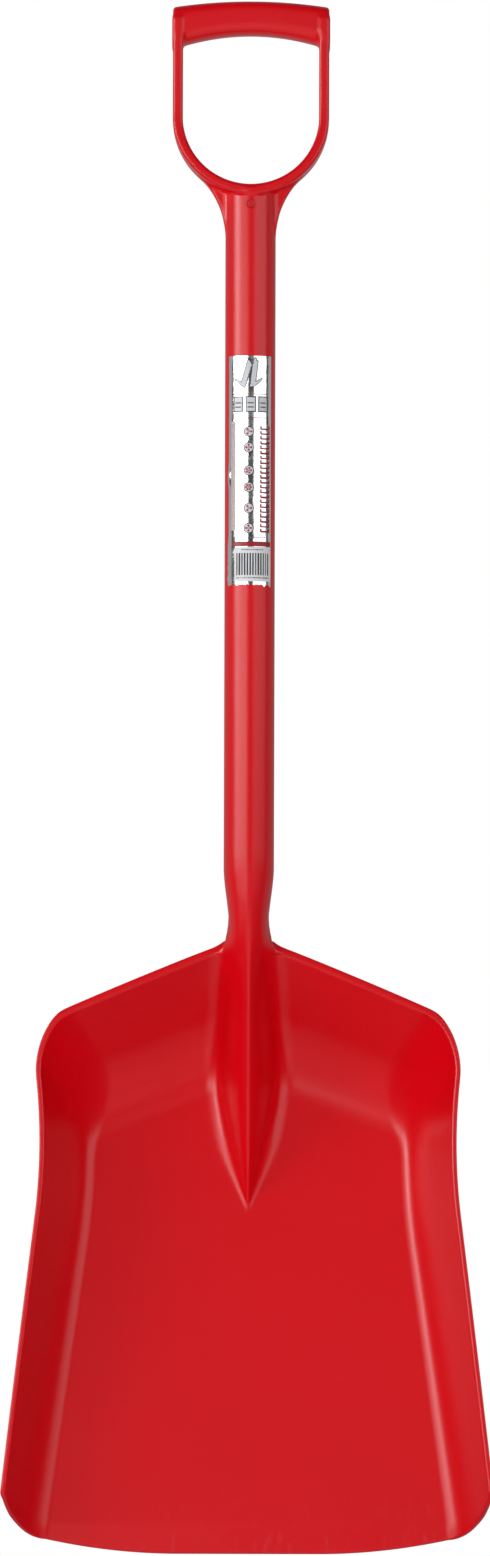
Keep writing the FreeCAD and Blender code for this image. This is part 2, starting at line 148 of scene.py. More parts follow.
def smooth(item):
    """Smooth shading that stops at true edges, such as the flat ends of a tube."""
    true_edge = math.radians(50)
    item.data.shade_smooth()
    item.data.set_sharp_from_angle(angle=true_edge)


def mesh_object(name, points, faces, local=None):
    """Object whose place is in its mesh. Points are local millimetres, or metres with no frame."""
    mesh = bpy.data.meshes.new(name)
    placed = local.to_row(points) if local else np.asarray(points, float)
    mesh.from_pydata(placed.tolist(), [], [list(face) for face in faces])
    mesh.update()
    item = bpy.data.objects.new(name, mesh)
    bpy.context.scene.collection.objects.link(item)
    smooth(item)
    return item


def grid_faces(rows, columns, start=0, closed=False, flip=False):
    """Quads of a rows x columns lattice of points, optionally closed round the columns."""
    faces = []
    last = columns if closed else columns - 1
    for row in range(rows - 1):
        for column in range(last):
            following = (column + 1) % columns
            quad = [start + row * columns + column, start + row * columns + following,
                    start + (row + 1) * columns + following, start + (row + 1) * columns + column]
            faces.append(quad[::-1] if flip else quad)
    return faces


def coordinates(item):
    flat = np.empty(len(item.data.vertices) * 3)
    item.data.vertices.foreach_get("co", flat)
    return flat.reshape(-1, 3)


def set_coordinates(item, points):
    item.data.vertices.foreach_set("co", np.asarray(points, np.float32).ravel())
    item.data.update()


def clean(item, distance):
    """Merge close points, dissolve degenerate edges and faces, and turn the faces outwards."""
    work = bmesh.new()
    work.from_mesh(item.data)
    bmesh.ops.remove_doubles(work, verts=work.verts, dist=distance)
    bmesh.ops.dissolve_degenerate(work, edges=work.edges, dist=distance * 0.2)
    bmesh.ops.recalc_face_normals(work, faces=work.faces)
    work.to_mesh(item.data)
    work.free()
    smooth(item)


def apply_modifiers(item):
    bpy.context.view_layer.update()
    evaluated = item.evaluated_get(bpy.context.evaluated_depsgraph_get())
    done = bpy.data.meshes.new_from_object(evaluated)
    item.modifiers.clear()
    item.data = done
    smooth(item)


def combine(item, other, operation):
    """Boolean of two closed meshes, kept in the first."""
    step = item.modifiers.new(operation, "BOOLEAN")
    step.operation = operation
    step.solver = "EXACT"
    step.object = other
    apply_modifiers(item)


def relax_on(points, field, rounds):
    """Newton steps that carry points on to the zero surface of a field, in millimetres."""
    small = 0.02
    for _ in range(rounds):
        here = field(points)
        slope = np.stack([(field(points + step) - here) / small for step in np.eye(3) * small], axis=1)
        size = np.maximum((slope ** 2).sum(1), 0.05)
        points = points - slope * np.clip(here / size, -4, 4)[:, None]
    return points


# ------------------------------------------------------------------ pan

def half_width(along, waist, radius, splay):
    """Half width of the pan at one level: straight splayed front, then the round waist."""
    waist_y = 300
    turn = math.radians(splay)
    arc_run = radius * math.sin(turn)
    arc_start = waist_y - arc_run
    offset = np.clip(along - waist_y, -arc_run, radius * 0.6)
    arc = waist + radius - np.sqrt(radius ** 2 - offset ** 2)
    return arc + np.maximum(arc_start - along, 0) * math.tan(turn)


def heel_height(along):
    """Height of the inner face over the floor, the heel bend and the leaning back wall."""
    turn = math.pi / 2 - BACK_LEAN
    run = along - HEEL_Y
    bend_run = HEEL_RADIUS * math.sin(turn)
    bend = WALL + HEEL_RADIUS - np.sqrt(HEEL_RADIUS ** 2 - np.clip(run, 0, bend_run) ** 2)
    return bend + np.maximum(run - bend_run, 0) * math.tan(turn)


def pan_height(x, along):
    """Height of the pan's inner face above the underside of the floor."""
    level = 120
    waist = 114.3
    side_lean = math.radians(22.5)
    apex_round = 14
    lip_drop, lip_length = 2.0, 22
    low_radius, low_splay = 500, 8.0
    high_radius, high_splay = 400, 9.7
    side_round, heel_round = 27, 76
    across = np.abs(x)
    swept = along + math.tan(SWEEP) * (np.sqrt(across ** 2 + apex_round ** 2) - apex_round * 0.8)
    heel = heel_height(swept)
    lip = lip_drop * smooth_step(1 - along / lip_length)
    low = half_width(along, waist + 3.5, low_radius, low_splay)
    high = half_width(along, waist + 2.9 + level * math.tan(side_lean), high_radius, high_splay)
    side = level * (across - low) / (high - low)
    rounding = side_round + (heel_round - side_round) * smooth_step((along - 290) / 80)
    return smooth_max(heel - lip, side, rounding)


def rim_height(along):
    """Height of the rim over the floor, rising straight from the front corners to the back."""
    front_y, front_rim = 40, 47
    back_y, back_rim = 437, 79.5
    return front_rim + (back_rim - front_rim) * (along - front_y) / (back_y - front_y)


def front_line(x):
    """How far the front edge is drawn back at x."""
    flat_half, corner_x, corner_radius = 50, 143.5, 30
    drawn_back = 10
    outside = 400
    across = np.abs(x)
    drawn = drawn_back * (np.maximum(across - flat_half, 0) / (corner_x - flat_half)) ** 2
    corner = np.clip(across - corner_x, 0, corner_radius)
    rounded = drawn_back + corner_radius - np.sqrt(np.maximum(corner_radius ** 2 - corner ** 2, 0))
    return np.where(across < corner_x, drawn, np.where(across < corner_x + corner_radius, rounded, outside))


def inside_outline(x, along):
    return (pan_height(x, along) < rim_height(along)) & (along > front_line(x))


def half_outline(count):
    """Right half of the rim in plan, from the middle of the front edge round to the back apex."""
    centre = np.array([0.0, 190.0])
    farthest = 330.0
    angles = np.linspace(-math.pi / 2, math.pi / 2, count)
    ways = np.stack([np.cos(angles), np.sin(angles)], axis=1)
    near = np.zeros(count)
    far = np.full(count, farthest)
    for _ in range(40):
        middle = (near + far) / 2
        tried = centre + ways * middle[:, None]
        kept = inside_outline(tried[:, 0], tried[:, 1])
        near = np.where(kept, middle, near)
        far = np.where(kept, far, middle)
    return centre + ways * near[:, None]


def resample(curve, shares):
    """Points at shares of the length of an open curve."""
    steps = np.linalg.norm(np.diff(curve, axis=0), axis=1)
    run = np.concatenate([[0], np.cumsum(steps)]) / steps.sum()
    return np.stack([np.interp(shares, run, curve[:, axis]) for axis in (0, 1)], axis=1)


def coons(bottom, top, left, right, across, along):
    """Plan points of a patch between four boundary curves, rows along, columns across."""
    u = across[None, :, None]
    v = along[:, None, None]
    corners = ((1 - u) * (1 - v) * bottom[0] + u * (1 - v) * bottom[-1]
               + (1 - u) * v * top[0] + u * v * top[-1])
    return ((1 - v) * bottom[None] + v * top[None] + (1 - u) * left[:, None] + u * right[:, None]) - corners


def plan_grid():
    """Plan grid of the whole pan, mirrored about the middle."""
    outline = half_outline(2400)
    front_corner = int(np.argmax(outline[:, 0] - 0.9 * outline[:, 1]))
    side = np.arange(len(outline)) > front_corner
    shoulder = int(np.argmax(np.where(side, outline[:, 0] + 1.25 * outline[:, 1], -1e9)))
    across = graded((0.12, 14), (0.74, 38), (1, 38))
    along = graded((0.05, 10), (0.72, 66), (1, 84))
    middle = np.stack([np.zeros(len(along)), along * outline[-1, 1]], axis=1)
    right = coons(resample(outline[:front_corner + 1], across),
                  resample(outline[shoulder:][::-1], across),
                  middle, resample(outline[front_corner:shoulder + 1], along), across, along)
    left = right[:, :0:-1] * [-1, 1]
    return np.concatenate([left, right], axis=1)


def pan_normals(x, along):
    """Unit normals of the inner face, into the load space."""
    small = 0.05
    slope_x = (pan_height(x + small, along) - pan_height(x - small, along)) / (2 * small)
    slope_y = (pan_height(x, along + small) - pan_height(x, along - small)) / (2 * small)
    normals = np.stack([-slope_x, -slope_y, np.ones_like(slope_x)], axis=-1)
    return normals / np.linalg.norm(normals, axis=-1, keepdims=True)


def boundary_loop(rows, columns):
    """Indices round the edge of a lattice, anticlockwise seen from above."""
    loop = [(0, c) for c in range(columns - 1)]
    loop += [(r, columns - 1) for r in range(rows - 1)]
    loop += [(rows - 1, c) for c in range(columns - 1, 0, -1)]
    loop += [(r, 0) for r in range(rows - 1, 0, -1)]
    return loop


def pan_piece():
    """Closed shell of the pan, with its rim rounded over."""
    plan = plan_grid()
    rows, columns = plan.shape[:2]
    x, along = plan[..., 0], plan[..., 1]
    inner = np.dstack([x, along, pan_height(x, along)])
    normals = pan_normals(x, along)
    level = np.linalg.norm(normals[..., :2], axis=-1)
    at_rim = smooth_step((inner[..., 2] - rim_height(along) + 5) / 5) * smooth_step(level * 3 - 1)
    back_extra = 1.4
    at_back = smooth_step((along - 340) / 60) * smooth_step((inner[..., 2] - 30) / 40)
    thick = WALL + back_extra * at_back
    outward = -normals[..., :2] / np.maximum(level, 1e-6)[..., None]
    flat_offset = np.dstack([outward, np.zeros_like(x)]) * (thick / np.maximum(level, 0.3))[..., None]
    offset = -normals * thick[..., None]
    outer = inner + offset + (flat_offset - offset) * at_rim[..., None]

    loop = boundary_loop(rows, columns)
    step_in = {True: 1, False: 0}
    starts, ends, ways_in, ways_out = [], [], [], []
    for r, c in loop:
        r_in = r + step_in[r == 0] - step_in[r == rows - 1]
        c_in = c + step_in[c == 0] - step_in[c == columns - 1]
        starts.append(inner[r, c])
        ends.append(outer[r, c])
        ways_in.append(inner[r_in, c_in] - inner[r, c])
        ways_out.append(outer[r_in, c_in] - outer[r, c])
    starts, ends = np.array(starts), np.array(ends)
    over = ends - starts
    over /= np.linalg.norm(over, axis=1, keepdims=True)

    def across_only(ways):
        """Direction down the wall from the rim, square to the rim's top."""
        tangent = np.roll(starts, -1, axis=0) - np.roll(starts, 1, axis=0)
        tangent /= np.linalg.norm(tangent, axis=1, keepdims=True)
        ways = ways - tangent * (ways * tangent).sum(1, keepdims=True)
        return ways / np.linalg.norm(ways, axis=1, keepdims=True)

    down_in = across_only(np.array(ways_in))
    down_out = across_only(np.array(ways_out))
    rim_radius = 1.15
    arc = [0.0, 0.25, 0.5, 0.75, 1.0]
    rings = []
    for edge, down, way, shares in ((starts, down_in, over, arc), (ends, down_out, -over, arc[::-1])):
        for share in shares:
            angle = share * math.pi / 2
            drop, in_by = rim_radius * (1 - math.sin(angle)), rim_radius * (1 - math.cos(angle))
            rings.append(edge + down * drop + way * in_by)
    for index, (r, c) in enumerate(loop):
        inner[r, c] = rings[0][index]
        outer[r, c] = rings[-1][index]

    points = [inner.reshape(-1, 3), outer.reshape(-1, 3)]
    faces = grid_faces(rows, columns) + grid_faces(rows, columns, rows * columns, flip=True)
    count = len(loop)
    first = 2 * rows * columns
    levels = [[r * columns + c for r, c in loop]]
    for number, ring in enumerate(rings[1:-1]):
        points.append(ring)
        levels.append([first + number * count + i for i in range(count)])
    levels.append([rows * columns + r * columns + c for r, c in loop])
    for upper, lower in zip(levels, levels[1:]):
        for i in range(count):
            j = (i + 1) % count
            faces.append([upper[j], upper[i], lower[i], lower[j]])
    return mesh_object("pan", np.concatenate(points), faces)


# ------------------------------------------------------------------ neck and ridge

SEAM_Y = NECK_Y + NECK_LENGTH * math.cos(LIFT)
SEAM_Z = NECK_Z + NECK_LENGTH * math.sin(LIFT)
RIDGE_FOOT = [(256, 1.0), (266, 4.5), (277, 7.5), (292, 11.5), (307, 15), (328, 19), (348, 21),
              (372, 21), (395, 20), (419, 19), (433, 15.5)]


def ridge_foot(stations):
    """Half width of the ridge where it meets the pan, smoothed between its stations."""
    offsets = np.linspace(-9, 9, 13)
    return np.mean([np.interp(stations + offset, *zip(*RIDGE_FOOT)) for offset in offsets], axis=0)


def crest_height(along):
    """Top of the ridge and the neck along the middle."""
    neck_top = NECK_Z + NECK_DEPTH / 2
    ridge = WALL + (neck_top - WALL) * (along - RIDGE_TIP) / (NECK_Y - RIDGE_TIP)
    shaft = SEAM_Z + (along - SEAM_Y) * math.tan(LIFT) + SHAFT_RADIUS / math.cos(LIFT)
    return smooth_min(ridge, shaft, 10)


def station_sections(stations, count):
    """Closed sections of the ridge and neck in planes across the blade, as (x, z) round each."""
    along = stations[:, None]
    turn = np.linspace(0, 2 * math.pi, count, endpoint=False)[None, :]
    side = np.sin(turn)
    upper = np.cos(turn)
    to_neck = smooth_step((along - 416) / 20)
    to_shaft = smooth_step((along - NECK_Y - 6) / (SEAM_Y - NECK_Y - 12))
    neck_half = NECK_WIDTH / 2 + (SHAFT_RADIUS - NECK_WIDTH / 2) * to_shaft
    centre = SEAM_Z + (along - SEAM_Y) * math.tan(LIFT)
    top = crest_height(along)
    bottom = centre - (NECK_DEPTH / 2 + (SHAFT_RADIUS - NECK_DEPTH / 2) * to_shaft) / math.cos(LIFT)
    foot_half = ridge_foot(stations)[:, None]
    half = foot_half + (neck_half - foot_half) * smooth_step((along - 412) / 24)
    x = half * side
    middle = (top + bottom) / 2
    oval = middle + (top - bottom) / 2 * upper
    # tent with a rounded crest, whose foot is just inside the wall
    foot = pan_height(foot_half, along) - 1.5
    height = np.maximum(top - foot, 0.6)
    crest_radius = np.minimum(6.5, foot_half * foot_half / (2.6 * height))
    steep = height / np.sqrt(foot_half ** 2 - 2 * crest_radius * height)
    rounding = crest_radius * steep * steep
    tent_top = top + rounding - np.sqrt(rounding ** 2 + (steep * np.minimum(np.abs(x), foot_half)) ** 2)
    shell = pan_height(x, along) - WALL * 0.5
    tent_low = np.minimum(shell, np.minimum(oval, tent_top))
    tent = np.where(upper >= 0, np.maximum(tent_top, shell), tent_low)
    z = tent + (oval - tent) * to_neck
    return np.stack([x, z], axis=-1)


def tube_piece():
    """Closed loft of the ridge and the neck, from the ridge's tip up to the seam."""
    count = 96
    stations = np.concatenate([np.linspace(RIDGE_TIP, 290, 26)[:-1], np.linspace(290, 400, 50)[:-1],
                               np.linspace(400, SEAM_Y, 60)])
    sections = station_sections(stations, count)
    rows = len(stations)
    square = smooth_step((stations - 445) / (SEAM_Y - 445))[:, None]
    along = stations[:, None] - (sections[..., 1] - SEAM_Z) * math.tan(LIFT) * square
    points = np.dstack([sections[..., 0], along, sections[..., 1]])
    faces = grid_faces(rows, count, closed=True)
    faces.append(list(range(count)))
    faces.append([(rows - 1) * count + i for i in range(count)][::-1])
    return mesh_object("tube", points.reshape(-1, 3), faces)


class SectionField:
    """Signed distance to the ridge and neck, measured in planes across the blade."""

    def __init__(self):
        self.stations = np.linspace(RIDGE_TIP - 0.01, SEAM_Y, 150)
        self.sections = station_sections(self.stations, 72)

    def __call__(self, points):
        step = (points[:, 1] - self.stations[0]) / (self.stations[1] - self.stations[0])
        step = np.clip(step, 0, len(self.stations) - 1.001)
        low = step.astype(int)
        share = (step - low)[:, None, None]
        ring = self.sections[low] * (1 - share) + self.sections[low + 1] * share
        here = points[:, None, [0, 2]]
        following = np.roll(ring, -1, axis=1)
        edge = following - ring
        reach = ((here - ring) * edge).sum(-1) / np.maximum((edge ** 2).sum(-1), 1e-9)
        nearest = ring + edge * np.clip(reach, 0, 1)[..., None]
        distance = np.sqrt(((here - nearest) ** 2).sum(-1)).min(1)
        above = (ring[..., 1] > here[..., 1]) != (following[..., 1] > here[..., 1])
        crossing = ring[..., 0] + edge[..., 0] * (here[..., 1] - ring[..., 1]) / np.where(
            np.abs(edge[..., 1]) < 1e-9, 1e-9, edge[..., 1])
        inside = (above & (here[..., 0] < crossing)).sum(1) % 2 == 1
        tip = np.maximum(RIDGE_TIP - points[:, 1], 0)
        return np.where(inside, -distance, np.hypot(distance, tip))


def pan_field(points):
    """Rough signed distance to the pan's shell."""
    x, along, z = points.T
    normals_z = pan_normals(x, along)[:, 2]
    over = (z - pan_height(x, along)) * normals_z
    return np.maximum(np.maximum(over, -over - WALL), z - rim_height(along))


def blend_junction(points, reach):
    """Carry points near where ridge and pan meet out on to one rounded surface."""
    floor_zone = 45
    tube = SectionField()
    pan_side, tube_side = pan_field(points), tube(points)
    near = np.abs(pan_side - tube_side) < reach
    near &= points[:, 1] < SEAM_Y - 4
    under = points[:, 2] < pan_height(points[:, 0], points[:, 1]) - 0.6 * WALL
    near &= ~(under & (points[:, 2] < floor_zone))
    chosen = points[near]
    rest = np.minimum(pan_side, tube_side)[near]
    width = reach * smooth_step((chosen[:, 1] - RIDGE_TIP + 14) / 70) + 0.5

    def field(tried):
        return smooth_min(pan_field(tried), tube(tried), width) - rest

    moved = relax_on(chosen, field, 4)
    result = points.copy()
    result[near] = moved
    return result


def blade_piece():
    junction_reach = 11
    pan = pan_piece()
    clean(pan, 0.01)
    tube = tube_piece()
    clean(tube, 0.01)
    combine(pan, tube, "UNION")
    bpy.data.objects.remove(tube)
    clean(pan, 0.3)
    set_coordinates(pan, BLADE.to_row(blend_junction(coordinates(pan), junction_reach)))
    clean(pan, 0.00005)
    pan.name = "blade_moulding"
    return pan


# ------------------------------------------------------------------ shaft

def node_tree(name, inputs):
    """Geometry node tree with named inputs, given as (name, socket type)."""
    tree = bpy.data.node_groups.new(name, "GeometryNodeTree")
    for label, kind in inputs:
        tree.interface.new_socket(label, in_out="INPUT", socket_type=kind)
    tree.interface.new_socket("Geometry", in_out="OUTPUT", socket_type="NodeSocketGeometry")
    return tree, tree.nodes.new("NodeGroupInput"), tree.nodes.new("NodeGroupOutput")


def add_node(tree, kind, settings=None, links=None):
    """Node with its settings first, then values or links for its inputs, by name or number."""
    node = tree.nodes.new(kind)
    for label, value in (settings or {}).items():
        setattr(node, label, value)
    for label, value in (links or {}).items():
        if isinstance(value, bpy.types.NodeSocket):
            tree.links.new(value, node.inputs[label])
        else:
            node.inputs[label].default_value = value
    return node


def finish_tree(tree, output, geometry, material):
    """Real geometry with its material, as the last two nodes of a tree."""
    real = add_node(tree, "GeometryNodeRealizeInstances", links={0: geometry})
    done = add_node(tree, "GeometryNodeSetMaterial", links={0: real.outputs[0], "Material": material})
    tree.links.new(done.outputs[0], output.inputs[0])


def grown_mesh(tree, values):
    """Plain mesh made by a tree from values given by input name."""
    mesh = bpy.data.meshes.new(tree.name)
    item = bpy.data.objects.new(tree.name, mesh)
    bpy.context.scene.collection.objects.link(item)
    step = item.modifiers.new(tree.name, "NODES")
    step.node_group = tree
    for socket in tree.interface.items_tree:
        if socket.in_out == "INPUT":
            step[socket.identifier] = values[socket.name]
    bpy.context.view_layer.update()
    done = bpy.data.meshes.new_from_object(item.evaluated_get(bpy.context.evaluated_depsgraph_get()))
    bpy.data.objects.remove(item)
    return done


def tube_tree():
    """Round bar along +Y from the origin, closed at both ends."""
    tree, given, output = node_tree("round_tube", [
        ("Length", "NodeSocketFloat"), ("Radius", "NodeSocketFloat"), ("Sides", "NodeSocketInt"),
        ("Rings", "NodeSocketInt"), ("Material", "NodeSocketMaterial")])
    end = add_node(tree, "ShaderNodeCombineXYZ", links={"Y": given.outputs["Length"]})
    line = add_node(tree, "GeometryNodeCurvePrimitiveLine", links={"End": end.outputs[0]})
    path = add_node(tree, "GeometryNodeResampleCurve", links={
        0: line.outputs[0], "Count": given.outputs["Rings"]})
    profile = add_node(tree, "GeometryNodeCurvePrimitiveCircle", links={
        "Radius": given.outputs["Radius"], "Resolution": given.outputs["Sides"]})
    swept = add_node(tree, "GeometryNodeCurveToMesh", links={
        0: path.outputs[0], 1: profile.outputs[0], "Fill Caps": True})
    finish_tree(tree, output, swept.outputs[0], given.outputs["Material"])
    return tree


def placed_item(name, mesh, local, offset=(0, 0, 0)):
    """Object from a mesh in local millimetres."""
    item = bpy.data.objects.new(name, mesh)
    bpy.context.scene.collection.objects.link(item)
    set_coordinates(item, local.to_row(coordinates(item) + np.array(offset, float)))
    clean(item, 0.000005)
    return item


def shaft_piece(material):
    """Shaft from the neck up to the strap, as the moulding shows no seam under the grip."""
    under_strap = 34.5
    mesh = grown_mesh(tube_tree(), {"Length": SHAFT_LENGTH + under_strap, "Radius": SHAFT_RADIUS,
                                    "Sides": 96, "Rings": 121, "Material": material})
    return placed_item("shaft_tube", mesh, SHAFT)


# ------------------------------------------------------------------ grip

STRAP_OUTER = 56
STRAP_HALF = 3.6
STRAP_MIDDLE = STRAP_OUTER - STRAP_HALF
STRAP_DEEP = 15
BEND_Y = 87
WEB_RADIUS = 62
WEB_HALF = 6
WEB_TOP = 44
STRAP_END = 159
COLLAR_RADIUS = SHAFT_RADIUS - 0.08
COLLAR_START = 3
COLLAR_END = 36
BAR_TOP = 170.2
BAR_LOW = 145.9


def bar_top(x):
    return BAR_TOP - 4.3 * (x / STRAP_OUTER) ** 2


def bar_low(x):
    return BAR_LOW - 0.0031 * x ** 2


def rounded_box(first, second, radius):
    """Distance to a box with rounded edges, from the distances to its two pairs of faces."""
    a = first + radius
    b = second + radius
    return np.hypot(np.maximum(a, 0), np.maximum(b, 0)) + np.minimum(np.maximum(a, b), 0) - radius


def strap_deep(along):
    """Half depth of the strap, deeper where it crosses the collar."""
    return STRAP_DEEP + 3.4 * (1 - smooth_step((along - 36) / 62))


def strap_field(x, along, z):
    round_bend = np.hypot(x, along - BEND_Y) - STRAP_MIDDLE
    straight = np.abs(x) - STRAP_MIDDLE
    across = np.where(along >= BEND_Y, straight, round_bend)
    section = rounded_box(np.abs(across) - STRAP_HALF, np.abs(z) - strap_deep(along), 2.0)
    return smooth_max(section, along - STRAP_END, 3)


def bar_field(x, along, z):
    """Arched bar: nearly flat on top, rounder on the side that the fingers close on."""
    middle = (bar_top(x) + bar_low(x)) / 2
    half = (bar_top(x) - bar_low(x)) / 2
    power = 4.0 + 1.3 * np.tanh((along - middle) / 4)
    shape = (np.abs((along - middle) / half) ** power + np.abs(z / STRAP_DEEP) ** power) ** (1 / power)
    return smooth_max((shape - 1) * half, np.abs(x) - STRAP_OUTER, 2.5)


def grip_field(points):
    x, along, z = points.T
    web_edge = WEB_RADIUS - np.hypot(np.abs(x) - SHAFT_RADIUS - WEB_RADIUS, along)
    web = smooth_max(np.abs(z) - WEB_HALF, web_edge, 1.5)
    web = np.maximum(np.maximum(web, along - WEB_TOP), 1 - along)
    collar = np.maximum(np.maximum(np.hypot(x, z) - COLLAR_RADIUS, along - COLLAR_END), COLLAR_START - along)
    root = 0.1 + 3.4 * smooth_step((along - 1) / 16)
    lower = np.maximum(smooth_min(web, collar, root), STRAP_MIDDLE - np.hypot(x, along - BEND_Y))
    strap = strap_field(x, along, z)
    return smooth_min(smooth_min(strap, bar_field(x, along, z), 2.5), lower, 2.5)


def swept(sections):
    """Closed mesh data through rings of points, as points and faces."""
    rows, columns = sections.shape[:2]
    faces = grid_faces(rows, columns, closed=True)
    faces.append(list(range(columns))[::-1])
    faces.append([(rows - 1) * columns + i for i in range(columns)])
    return sections.reshape(-1, 3), faces


def rough_strap():
    turns = np.linspace(0, math.pi, 61)
    x = np.concatenate([[-STRAP_MIDDLE], -STRAP_MIDDLE * np.cos(turns), [STRAP_MIDDLE]])
    along = np.concatenate([[STRAP_END], BEND_Y - STRAP_MIDDLE * np.sin(turns), [STRAP_END]])
    out = np.stack([np.concatenate([[-1], -np.cos(turns), [1]]),
                    np.concatenate([[0], -np.sin(turns), [0]])], axis=1)
    rings = []
    for side, level in ((-1, -1), (1, -1), (1, 1), (-1, 1)):
        rings.append(np.stack([x + out[:, 0] * side * STRAP_HALF, along + out[:, 1] * side * STRAP_HALF,
                               level * strap_deep(along)], axis=1))
    return swept(np.stack(rings, axis=1))


def rough_web():
    """Plate between collar and strap on both sides."""
    rise = np.linspace(0.3, WEB_TOP, 20)
    edge = SHAFT_RADIUS + WEB_RADIUS - np.sqrt(WEB_RADIUS ** 2 - rise ** 2)
    across = np.linspace(edge[-1], -edge[-1], 31)
    under = BEND_Y - np.sqrt(STRAP_MIDDLE ** 2 - across ** 2)
    x = np.concatenate([edge, across[1:-1], -edge[::-1]])
    along = np.concatenate([rise, under[1:-1], rise[::-1]])
    rings = [np.stack([x, along, np.full_like(x, level)], axis=1) for level in (-WEB_HALF, WEB_HALF)]
    return swept(np.stack(rings))


def rough_collar():
    sides = 48
    turn = np.linspace(0, 2 * math.pi, sides, endpoint=False)
    x, z = COLLAR_RADIUS * np.cos(turn), COLLAR_RADIUS * np.sin(turn)
    rings = [np.stack([x, np.full(sides, along), z], axis=1) for along in (COLLAR_START, COLLAR_END)]
    return swept(np.stack(rings))


def rough_bar():
    turn = np.linspace(0, 2 * math.pi, 64, endpoint=False)
    rings = []
    for x in np.linspace(-STRAP_OUTER, STRAP_OUTER, 41):
        middle, half = (bar_top(x) + bar_low(x)) / 2, (bar_top(x) - bar_low(x)) / 2
        flat = np.stack([np.cos(turn), np.sin(turn)])
        flat /= (np.abs(flat) ** 4).sum(0) ** 0.25
        rings.append(np.stack([np.full(64, x), middle + half * flat[0], STRAP_DEEP * flat[1]], axis=1))
    return swept(np.stack(rings))


def grip_pieces():
    """Yoke and hand bar, grown as one smooth skin and parted at the strap's inner faces."""
    points, faces = [], []
    for part_points, part_faces in (rough_strap(), rough_web(), rough_collar(), rough_bar()):
        start = sum(len(done) for done in points)
        points.append(part_points)
        faces += [[start + corner for corner in face] for face in part_faces]
    whole = mesh_object("grip", np.concatenate(points), faces)
    clean(whole, 0.001)
    skin_grain = 0.85
    step = whole.modifiers.new("skin", "REMESH")
    step.mode = "VOXEL"
    step.voxel_size = skin_grain
    apply_modifiers(whole)
    set_coordinates(whole, relax_on(coordinates(whole), grip_field, 5))
    bar_half = STRAP_MIDDLE - STRAP_HALF - 0.4
    box = [[x, along, z] for x in (-bar_half, bar_half) for along in (120, 190) for z in (-40, 40)]
    sides = [[0, 1, 3, 2], [4, 6, 7, 5], [0, 4, 5, 1], [2, 3, 7, 6], [0, 2, 6, 4], [1, 5, 7, 3]]
    cutter = mesh_object("cutter", box, sides)
    clean(cutter, 0.001)
    bar = bpy.data.objects.new("hand_bar_arch", whole.data.copy())
    bpy.context.scene.collection.objects.link(bar)
    combine(bar, cutter, "INTERSECT")
    combine(whole, cutter, "DIFFERENCE")
    bpy.data.objects.remove(cutter)
    for item in (whole, bar):
        set_coordinates(item, GRIP.to_row(coordinates(item)))
        clean(item, 0.00002)
    whole.name = "yoke_moulding"
    return whole, bar


def plug_piece():
    """Small domed plug in the collar, its face dished inside a rounded lip."""
    profile = [(1.3, -0.24), (2.1, -0.05), (2.6, 0.2), (3.0, 0.28), (3.3, 0.16), (3.4, -0.2), (3.4, -1.2)]
    middle_y = 23.5
    upper_stretch = 1.22
    sides = 48
    turn = np.linspace(0, 2 * math.pi, sides, endpoint=False)
    rings = []
    for radius, height in profile:
        across = radius * np.sin(turn)
        along = middle_y + radius * np.cos(turn) * np.where(np.cos(turn) > 0, upper_stretch, 1)
        level = SHAFT_RADIUS + height
        rings.append(np.stack([level * np.sin(across / SHAFT_RADIUS), along,
                               level * np.cos(across / SHAFT_RADIUS)], axis=1))
    points, faces = swept(np.stack(rings))
    item = mesh_object("gate_plug_cap", points, faces, GRIP)
    clean(item, 0.000005)
    return item


# ------------------------------------------------------------------ labels

FOIL_START = 195
FOIL_END = 359.6
FOIL_LEFT = -17.6
FOIL_RIGHT = 17.3
FOIL_SKIN = 0.14
BLISTER_Y = 273
PAPER_LEFT = -11.6
PAPER_RIGHT = 16.9
PAPER_START = 197.8
PAPER_END = 222.6


def ripple(across, along, size, seed):
    """Smooth random height, about -1 to 1, with waves of the given size in millimetres."""
    return np.array([noise.noise((a / size, b / size, seed)) for a, b in zip(across.ravel(), along.ravel())
                     ]).reshape(across.shape)


def foil_level(across, along):
    """Radius of the foil's face: fine crinkles, and a blister near its left edge."""
    crinkle = 0.035 * ripple(across, along, 5, 1.5) + 0.02 * ripple(across, along, 1.8, 7.5)
    blister = 0.5 * np.exp(-((across + 17) / 1.6) ** 2 - ((along - BLISTER_Y) / 6) ** 2)
    return SHAFT_RADIUS + FOIL_SKIN + 0.05 + crinkle + blister


def on_shaft(across, along, level):
    turn = across / SHAFT_RADIUS
    return np.stack([level * np.sin(turn), along, level * np.cos(turn)], axis=-1)


def wrapped_patch(name, across, along, level, skin):
    """Closed thin patch round the shaft from a lattice of flat points and their outer radius."""
    outer = on_shaft(across, along, level)
    inner = on_shaft(across, along, level - skin)
    rows, columns = across.shape
    count = rows * columns
    faces = grid_faces(rows, columns, flip=True) + grid_faces(rows, columns, count)
    loop = [r * columns + c for r, c in boundary_loop(rows, columns)]
    for first, second in zip(loop, loop[1:] + loop[:1]):
        faces.append([first, second, second + count, first + count])
    item = mesh_object(name, np.concatenate([outer.reshape(-1, 3), inner.reshape(-1, 3)]), faces, SHAFT)
    clean(item, 0.000001)
    return item


